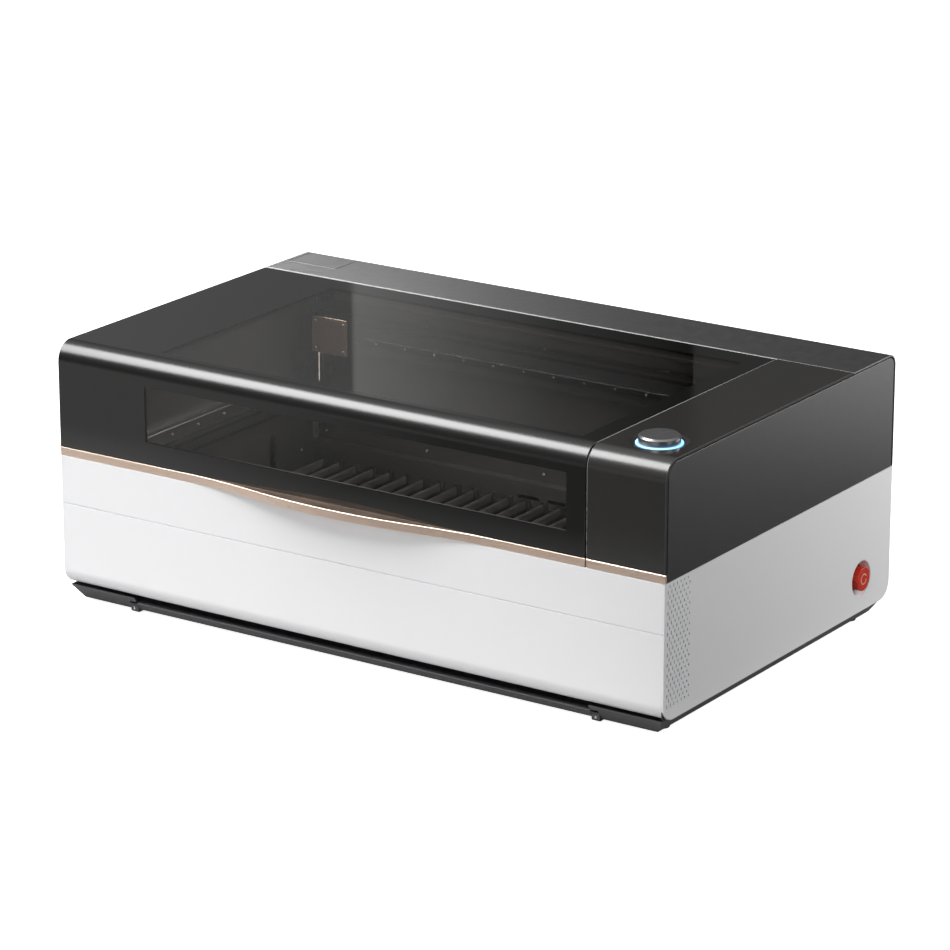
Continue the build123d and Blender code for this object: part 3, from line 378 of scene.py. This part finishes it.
def circuit_board():
    """Solder mask with faint tracks, and dark packages standing on it."""
    look = Look("circuit_board", (0.02, 0.13, 0.07), 0.35)
    split = look.node("ShaderNodeSeparateXYZ", Vector=look.place)
    tracks = look.ranged(look.noise(160, 1, (1, 0.25, 1)), 0, 1, 0.48, 0.52)
    mask = look.mixed(tracks, (0.016, 0.11, 0.06, 1), (0.035, 0.2, 0.11, 1))
    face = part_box("control_board")[0].x + 7.8 * MM
    raised = look.ranged(split.outputs["X"], 0, 1, face, face + 0.1 * MM)
    look.feed("Base Color", look.mixed(raised, mask, (0.02, 0.02, 0.022, 1)))
    look.rough(look.noise(300, 3), 0.3, 0.5)
    return look.material


def dish_gloss():
    """Black dish round the start button. The emergency stop's cup has a white flare over its black floor."""
    look = Look("dish_gloss", (0.012, 0.012, 0.012), 0.3)
    flare = look.within(X=(571.5, FAR))
    black = look.mixed(look.noise(14, 4), (0.010, 0.010, 0.010, 1), (0.014, 0.014, 0.014, 1))
    look.feed("Base Color", look.mixed(flare, black, (0.78, 0.78, 0.79, 1)))
    look.rough(look.noise(200, 3), 0.26, 0.36)
    return look.material


def diffuser():
    """Milky cover of the light bar, which is off but glows faintly. The thin rod beside the nozzle glows
    brightly as a painted highlight; it is no lamp.
    """
    look = Look("diffuser", (0.10, 0.10, 0.095), 0.5, Emission_Strength=1.5)
    # painted highlight: the rod at this place glows white though it is no lamp
    painted_highlight_rod = look.within(X=(GLOWING_ROD_X - 2, GLOWING_ROD_X + 2), Y=(ROD_Y - 2, ROD_Y + 2))
    look.feed("Emission Color", look.mixed(painted_highlight_rod, (0.012, 0.011, 0.010, 1), (1.0, 0.96, 0.91, 1)))
    look.tint(look.noise(14, 5), 0.06)
    look.rough(look.noise(200, 3), 0.45, 0.56)
    return look.material


def stop_red():
    """Red plastic of the emergency stop, with a pale open ring printed on its face."""
    look = Look("stop_red", (0.72, 0.035, 0.012), 0.24)
    split = look.node("ShaderNodeSeparateXYZ", Vector=look.place)
    across = look.math("SUBTRACT", split.outputs["Y"], STOP_Y * MM)
    up = look.math("SUBTRACT", split.outputs["Z"], STOP_Z * MM)
    squares = look.math("ADD", look.math("MULTIPLY", across, across), look.math("MULTIPLY", up, up))
    off_line = look.math("ABSOLUTE", look.math("SUBTRACT", look.math("SQRT", squares), 8.5 * MM))
    ring = look.math("MULTIPLY", look.math("LESS_THAN", off_line, 0.8 * MM), look.within(X=(STOP_FACE, FAR)))
    gap = look.within(Y=(STOP_Y, FAR), Z=(STOP_Z - 1.5, STOP_Z + 3.5))
    ring = look.math("MULTIPLY", ring, look.math("SUBTRACT", 1.0, gap))
    red = look.mixed(look.noise(14, 5), (0.52, 0.024, 0.008, 1), (0.62, 0.032, 0.011, 1))
    look.feed("Base Color", look.mixed(ring, red, (0.92, 0.55, 0.45, 1)))
    look.rough(look.noise(200, 3), 0.2, 0.3)
    return look.material


def light_guide():
    """Translucent ring round the start button, lit blue from below."""
    material = plastic("light_guide", (0.55, 0.75, 0.9), 0.3)
    shader = material.node_tree.nodes["Principled BSDF"]
    shader.inputs["Emission Color"].default_value = (0.14, 0.50, 1.0, 1)
    shader.inputs["Emission Strength"].default_value = 2.2
    return material


MATERIALS = {
    "base_paint": paint("base_paint", (0.062, 0.062, 0.065), 0.42, 1400),
    "foot_rubber": plastic("foot_rubber", (0.02, 0.02, 0.02), 0.85, 2500, 0.2, 0.6),
    "white_paint": paint("white_paint", (0.80, 0.80, 0.81), 0.42, 1100, 0.0, 0.012, 0.12),
    "charcoal_paint": paint("charcoal_paint", (0.10, 0.10, 0.10), 0.35, 1600, 0.9, 0.015, 0.06),
    "console_gloss": console_gloss(),
    "bronze": brushed("bronze", (0.82, 0.64, 0.525), 0.34),
    "smoked_glass": smoked_glass(),
    "frame_black": paint("frame_black", (0.008, 0.008, 0.008), 0.35, 1200, 0.0, 0.2),
    "inner_sheet": paint("inner_sheet", (0.10, 0.10, 0.10), 0.38, 1000, 0.3, 0.1),
    "pan_sheet": brushed("pan_sheet", (0.24, 0.24, 0.24), 0.42),
    "bed_aluminium": bed_aluminium(),
    "screw_steel": brushed("screw_steel", (0.66, 0.66, 0.67), 0.2, UP, 1.0, 0.06),
    "rail_aluminium": rail_aluminium(),
    "belt_rubber": plastic("belt_rubber", (0.015, 0.015, 0.015), 0.7, 2500),
    "motor_black": paint("motor_black", (0.02, 0.02, 0.022), 0.4, 1500),
    "gantry_black": brushed("gantry_black", (0.055, 0.055, 0.058), 0.34, metallic=0.6),
    "tube_glass": tube_glass(),
    "clamp_plastic": plastic("clamp_plastic", (0.022, 0.022, 0.023), 0.5),
    "supply_case": paint("supply_case", (0.28, 0.29, 0.30), 0.45, 700, 0.5),
    "tank_plastic": plastic("tank_plastic", (0.66, 0.70, 0.70), 0.4, 900, 0.05, 0.2, Subsurface_Weight=0.1),
    "board_plastic": circuit_board(),
    "diffuser": diffuser(),
    "button_black": brushed("button_black", (0.28, 0.28, 0.287), 0.3, RIGHT, 0.9, 0.05, 3000),
    "dish_gloss": dish_gloss(),
    "light_guide": light_guide(),
    "stop_red": stop_red(),
}


def dress(piece, slot):
    piece.data.materials.clear()
    piece.data.materials.append(MATERIALS[slot])


def dress_cad():
    """Every CAD piece takes the material of its slot in the record."""
    for node, slot in SLOT_OF.items():
        dress(NODES[node], slot)


# ---------------------------------------------------------------- studio
def area_light(name, place, target, size, power, only=()):
    """Softbox aimed at a target. The first side of its size runs along X as nearly as its aim allows.

    With "only", its light falls on those pieces alone.
    """
    data = bpy.data.lights.new(name, "AREA")
    data.shape = "RECTANGLE"
    data.size, data.size_y = size
    data.energy = power
    back = (Vector(place) - Vector(target)).normalized()
    across = (Vector(RIGHT) - back * back.x).normalized()
    turn = Matrix((across, back.cross(across), back)).transposed()
    lamp = bpy.data.objects.new(name, data)
    lamp.matrix_world = Matrix.Translation(place) @ turn.to_4x4()
    lamp.visible_camera = False
    bpy.context.scene.collection.objects.link(lamp)
    if only:
        receivers = bpy.data.collections.new(name + "_receivers")
        for piece in only:
            receivers.objects.link(piece)
        lamp.light_linking.receiver_collection = receivers


# What the floor throws back at the machine: pale under its front edge, darker further out to the front and
# to the right. One reflector lies in front on the left and another behind on the right. Metres and levels.
FLOOR_PALE, FLOOR_DARK = 0.42, 0.02
FLOOR_PALE_Y = ((-1.15, FLOOR_DARK), (-0.85, FLOOR_PALE), (3.0, FLOOR_PALE))
REFLECTOR_FRONT = ((-2.6, 0.50), (-1.0, 0.36), (-0.55, 0.04), (-0.1, 0.02), (1.2, 0.02))
REFLECTOR_RIGHT = ((0.2, 0.0), (0.9, 0.03), (1.45, 0.85), (2.1, 2.0), (3.0, 2.0))
REFLECTOR_TOP = 2.0
CAMERA_GLOW = 0.9 / REFLECTOR_TOP  # makes the floor white to the camera
FLOOR_HALF = 30  # metres
FLOOR_BESIDE = {"X": (620, FAR), "Y": (-900, 3 * FAR)}  # millimetres
FLOOR_BEFORE = {"X": (-2600, 620), "Y": (-3 * FAR, -950)}


def make_floor():
    """White to the camera. Everything else sees what the studio floor throws back."""
    bm = bmesh.new()
    signs = ((-1, -1), (1, -1), (1, 1), (-1, 1))
    bm.faces.new([bm.verts.new((x * FLOOR_HALF, y * FLOOR_HALF, 0)) for x, y in signs])
    floor = mesh_from(bm, "floor")
    look = Look("floor", (0.86, 0.86, 0.86), 0.7)
    seen = look.node("ShaderNodeLightPath").outputs["Is Camera Ray"]
    beside = look.within(**FLOOR_BESIDE)
    before = look.within(**FLOOR_BEFORE)
    pale = look.mixed(beside, look.along("Y", FLOOR_PALE_Y), grey(FLOOR_DARK))
    look.feed("Base Color", look.mixed(seen, pale, look.color))
    glow = look.mixed(before, grey(0), look.along("X", REFLECTOR_FRONT, REFLECTOR_TOP))
    glow = look.mixed(beside, glow, look.along("Y", REFLECTOR_RIGHT, REFLECTOR_TOP))
    look.feed("Emission Color", look.mixed(seen, glow, grey(CAMERA_GLOW)))
    look.put("Emission Strength", REFLECTOR_TOP)
    floor.data.materials.append(look.material)


WORLD_WHITE = 1.05
DOME = ((0.0, 0.06), (0.45, 0.08), (1.0, 0.9))  # level of the dome, from the horizon up to straight overhead


def make_world():
    """White to the camera, a grey dome to everything else."""
    world = bpy.data.worlds.new("studio")
    world.use_nodes = True
    bpy.context.scene.world = world
    tree = world.node_tree
    tree.nodes.clear()
    place = tree.nodes.new("ShaderNodeTexCoord")
    split = tree.nodes.new("ShaderNodeSeparateXYZ")
    ramp = tree.nodes.new("ShaderNodeValToRGB")
    marks = ramp.color_ramp.elements
    marks[0].color = grey(DOME[0][1])
    marks[1].color = grey(DOME[2][1])
    marks.new(DOME[1][0]).color = grey(DOME[1][1])
    dome = tree.nodes.new("ShaderNodeBackground")
    white = tree.nodes.new("ShaderNodeBackground")
    white.inputs["Color"].default_value = grey(1)
    white.inputs["Strength"].default_value = WORLD_WHITE
    path = tree.nodes.new("ShaderNodeLightPath")
    mix = tree.nodes.new("ShaderNodeMixShader")
    out = tree.nodes.new("ShaderNodeOutputWorld")
    tree.links.new(place.outputs["Generated"], split.inputs[0])
    tree.links.new(split.outputs["Z"], ramp.inputs[0])
    tree.links.new(ramp.outputs["Color"], dome.inputs["Color"])
    tree.links.new(path.outputs["Is Camera Ray"], mix.inputs[0])
    tree.links.new(dome.outputs[0], mix.inputs[1])
    tree.links.new(white.outputs[0], mix.inputs[2])
    tree.links.new(mix.outputs[0], out.inputs["Surface"])


# Brightness of the card behind the machine, by its X. The step is its softbox's left edge.
CARD_Y, CARD_LOW, CARD_HIGH = 3.2, 0.9, 2.6
CARD_GLOW = ((-3.6, 0.25), (-2.54, 0.19), (-2.53, 0.43), (-2.2, 0.22), (-1.9, 0.08), (-1.5, 0.0))


def make_card():
    """Softbox behind the machine, which the lid mirrors. It fades to the right."""
    left, right = CARD_GLOW[0][0], CARD_GLOW[-1][0]
    corners = ((left, CARD_LOW), (right, CARD_LOW), (right, CARD_HIGH), (left, CARD_HIGH))
    bm = bmesh.new()
    bm.faces.new([bm.verts.new((x, CARD_Y, z)) for x, z in corners])
    card = mesh_from(bm, "card")
    look = Look("card", (0, 0, 0), 1.0, Specular_IOR_Level=0.0, Emission_Strength=1.0)
    look.tree.links.new(look.along("X", CARD_GLOW), look.shader.inputs["Emission Color"])
    card.data.materials.append(look.material)
    card.visible_camera = False
    card.visible_shadow = False
    card.visible_diffuse = False


def make_studio():
    bpy.context.scene.view_settings.view_transform = "Standard"
    make_floor()
    make_world()
    make_card()
    hood_back = [bpy.data.objects[name + "_shell"] for name in ("rear_top_cover", "service_hatch")]
    area_light("edge_light", (-1.6, -1.3, 2.9), (0, -0.36, 0.44), (2.0, 2.0), 150)
    area_light("overhead_light", (-2.5, 1.6, 2.4), (-0.3, 0.1, 0.4), (1.6, 1.6), 125, only=hood_back)
    area_light("front_light", (0.9, -4.8, 2.0), (0, 0, 0.2), (3.0, 2.2), 74)
    area_light("right_light", (1.5, 1.3, 0.75), (0.58, 0.25, 0.25), (0.8, 0.8), 16)
    area_light("fill_light", (3.2, -0.5, 1.2), (0.58, 0, 0.2), (1.2, 1.2), 11)
    area_light("cavity_light", (-0.05, -0.08, 0.43), (-0.05, -0.06, 0.15), (0.7, 0.36), 2.3)


# ---------------------------------------------------------------- making
ROUNDED = {  # width of the rounding, in millimetres
    "lid_glass": 0.8,
    "lid_handle": 0.8,
    "console_cover": 0.8,
    "rear_top_cover": 0.7,
    "service_hatch": 0.5,
    "left_hood_side": 0.5,
    "right_hood_side": 0.5,
    "front_lower_panel": 0.6,
    "front_upper_panel": 0.5,
    "base_tray": 0.6,
    "front_baffle": 0.5,
    "baffle_brackets": 0.4,
}

# Millimetres. Each screw's place is just proud of the face it sits on.
VENT_FELT = ((579.6, -362, 36), (581.7, -282, 256))
WALL_LEFT, WALL_RIGHT, WALL_REAR = -467.6, 432.6, 203.6
RAIL_LEFT, RAIL_RIGHT, RAIL_Z = -464.6, 429.6, 275
RAIL_HOLES = [-289 + 72 * i for i in range(7)]
BEAM_LEFT, BEAM_RIGHT = -452.4, 417.4
FAN_X, FAN_Z = 250, 150
INLET_X, INLET_Z = 520, 90


def added(piece, body, slot):
    """A piece with no CAD node of its own, on one body and in one of the record's materials."""
    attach(piece, body)
    dress(piece, slot)


def screws(name, body, spots, radius=2.6, height=1.8):
    """Button-head screws with a socket, at (place, axis) spots in millimetres."""
    bm = bmesh.new()
    r, h = radius * MM, height * MM
    head = [(0, -h), (r, -h), (r, h * 0.45), (r * 0.93, h * 0.75), (r * 0.72, h)]
    socket = [(r * 0.5, h), (r * 0.44, h * 0.3), (0, h * 0.3)]
    for place, axis in spots:
        turned(bm, head + socket, Vector(place) * MM, axis, 18)
    added(mesh_from(bm, name, 40), body, "screw_steel")


def felt(name, low, high):
    """Mat of felt with rounded edges, between two corners in millimetres."""
    bm = bmesh.new()
    block(bm, Vector(low) * MM, Vector(high) * MM)
    piece = mesh_from(bm, name)
    added(piece, "frame", "foot_rubber")
    bevel = piece.modifiers.new("rounded edges", "BEVEL")
    bevel.width = 0.4 * MM
    bevel.segments = 2


def rod(name, x, radius, low, slot):
    """Upright rod with a tapered tip, hanging under the head in front of its lens tube. Millimetres."""
    bm = bmesh.new()
    height = ROD_TOP - low
    profile = [(0, 0), (radius * 0.6, 0), (radius, 2 * radius), (radius, height), (0, height)]
    turned(bm, [(r * MM, h * MM) for r, h in profile], Vector((x, ROD_Y, low)) * MM, UP, 20)
    added(mesh_from(bm, name, 50), "head", slot)


def make_details():
    # behind the vent holes
    felt("vent_felt", *VENT_FELT)

    # cavity
    rails = ((RAIL_LEFT, RIGHT), (RAIL_RIGHT, LEFT))
    screws("rail_screws", "frame", [((x, y, RAIL_Z), axis) for x, axis in rails for y in RAIL_HOLES])
    walls = ((WALL_LEFT, RIGHT), (WALL_RIGHT, LEFT))
    screws("wall_screws", "frame", [((x, y, 152), axis) for x, axis in walls for y in (-300, -60, 150)])
    rear = [((x, WALL_REAR, z), FRONT) for x in (-452, -240, 0, 240) for z in (176, 392)]
    screws("rear_wall_screws", "frame", rear, 3.0)

    # gantry: its end plates, and the rail along its beam
    ends = ((BEAM_LEFT, LEFT), (BEAM_RIGHT, RIGHT))
    spots = [((x, y, z), axis) for x, axis in ends for y in (152, 178) for z in (352, 386)]
    screws("beam_screws", "gantry", spots)
    screws("rail_x_screws", "gantry", [((-420 + 60 * i, 137.7, 370), FRONT) for i in range(14)], 1.9, 1.2)

    # head: the screws of its plate, a slim rod that glows as a painted highlight, and a probe rod beside the
    # nozzle
    corners = [((HEAD_X + side * 29, 103.9, z), FRONT) for side in BOTH for z in (356, 404)]
    screws("plate_screws", "head", corners, 2.2, 1.2)
    # this rod glows: a painted highlight, not a lamp
    rod("painted_highlight_rod", GLOWING_ROD_X, 1.0, 298, "diffuser")
    rod("probe_rod", -388.4, 0.7, 315, "screw_steel")

    # bed, mains inlet, exhaust fan, and the brackets of the base
    bed = [((x, y, 124.6), UP) for x in (-445, 410) for y in (-308, -120, 60, 162)]
    screws("bed_screws", "bed", bed, 3.2)
    inlet = [((INLET_X + side * 24, 352.2, INLET_Z), BACK) for side in BOTH]
    screws("inlet_screws", "frame", inlet, 2.2, 1.2)
    fan = [((FAN_X + a * 56, 299.8, FAN_Z + b * 56), FRONT) for a in BOTH for b in BOTH]
    screws("fan_screws", "frame", fan, 3.0)
    screws("bracket_screws", "frame", [((side * 452, -346.2, 9), FRONT) for side in BOTH], 2.2, 1.0)


make_camera()
dress_cad()
for node, millimetres in ROUNDED.items():
    finished(node, millimetres * MM)
make_details()
make_studio()
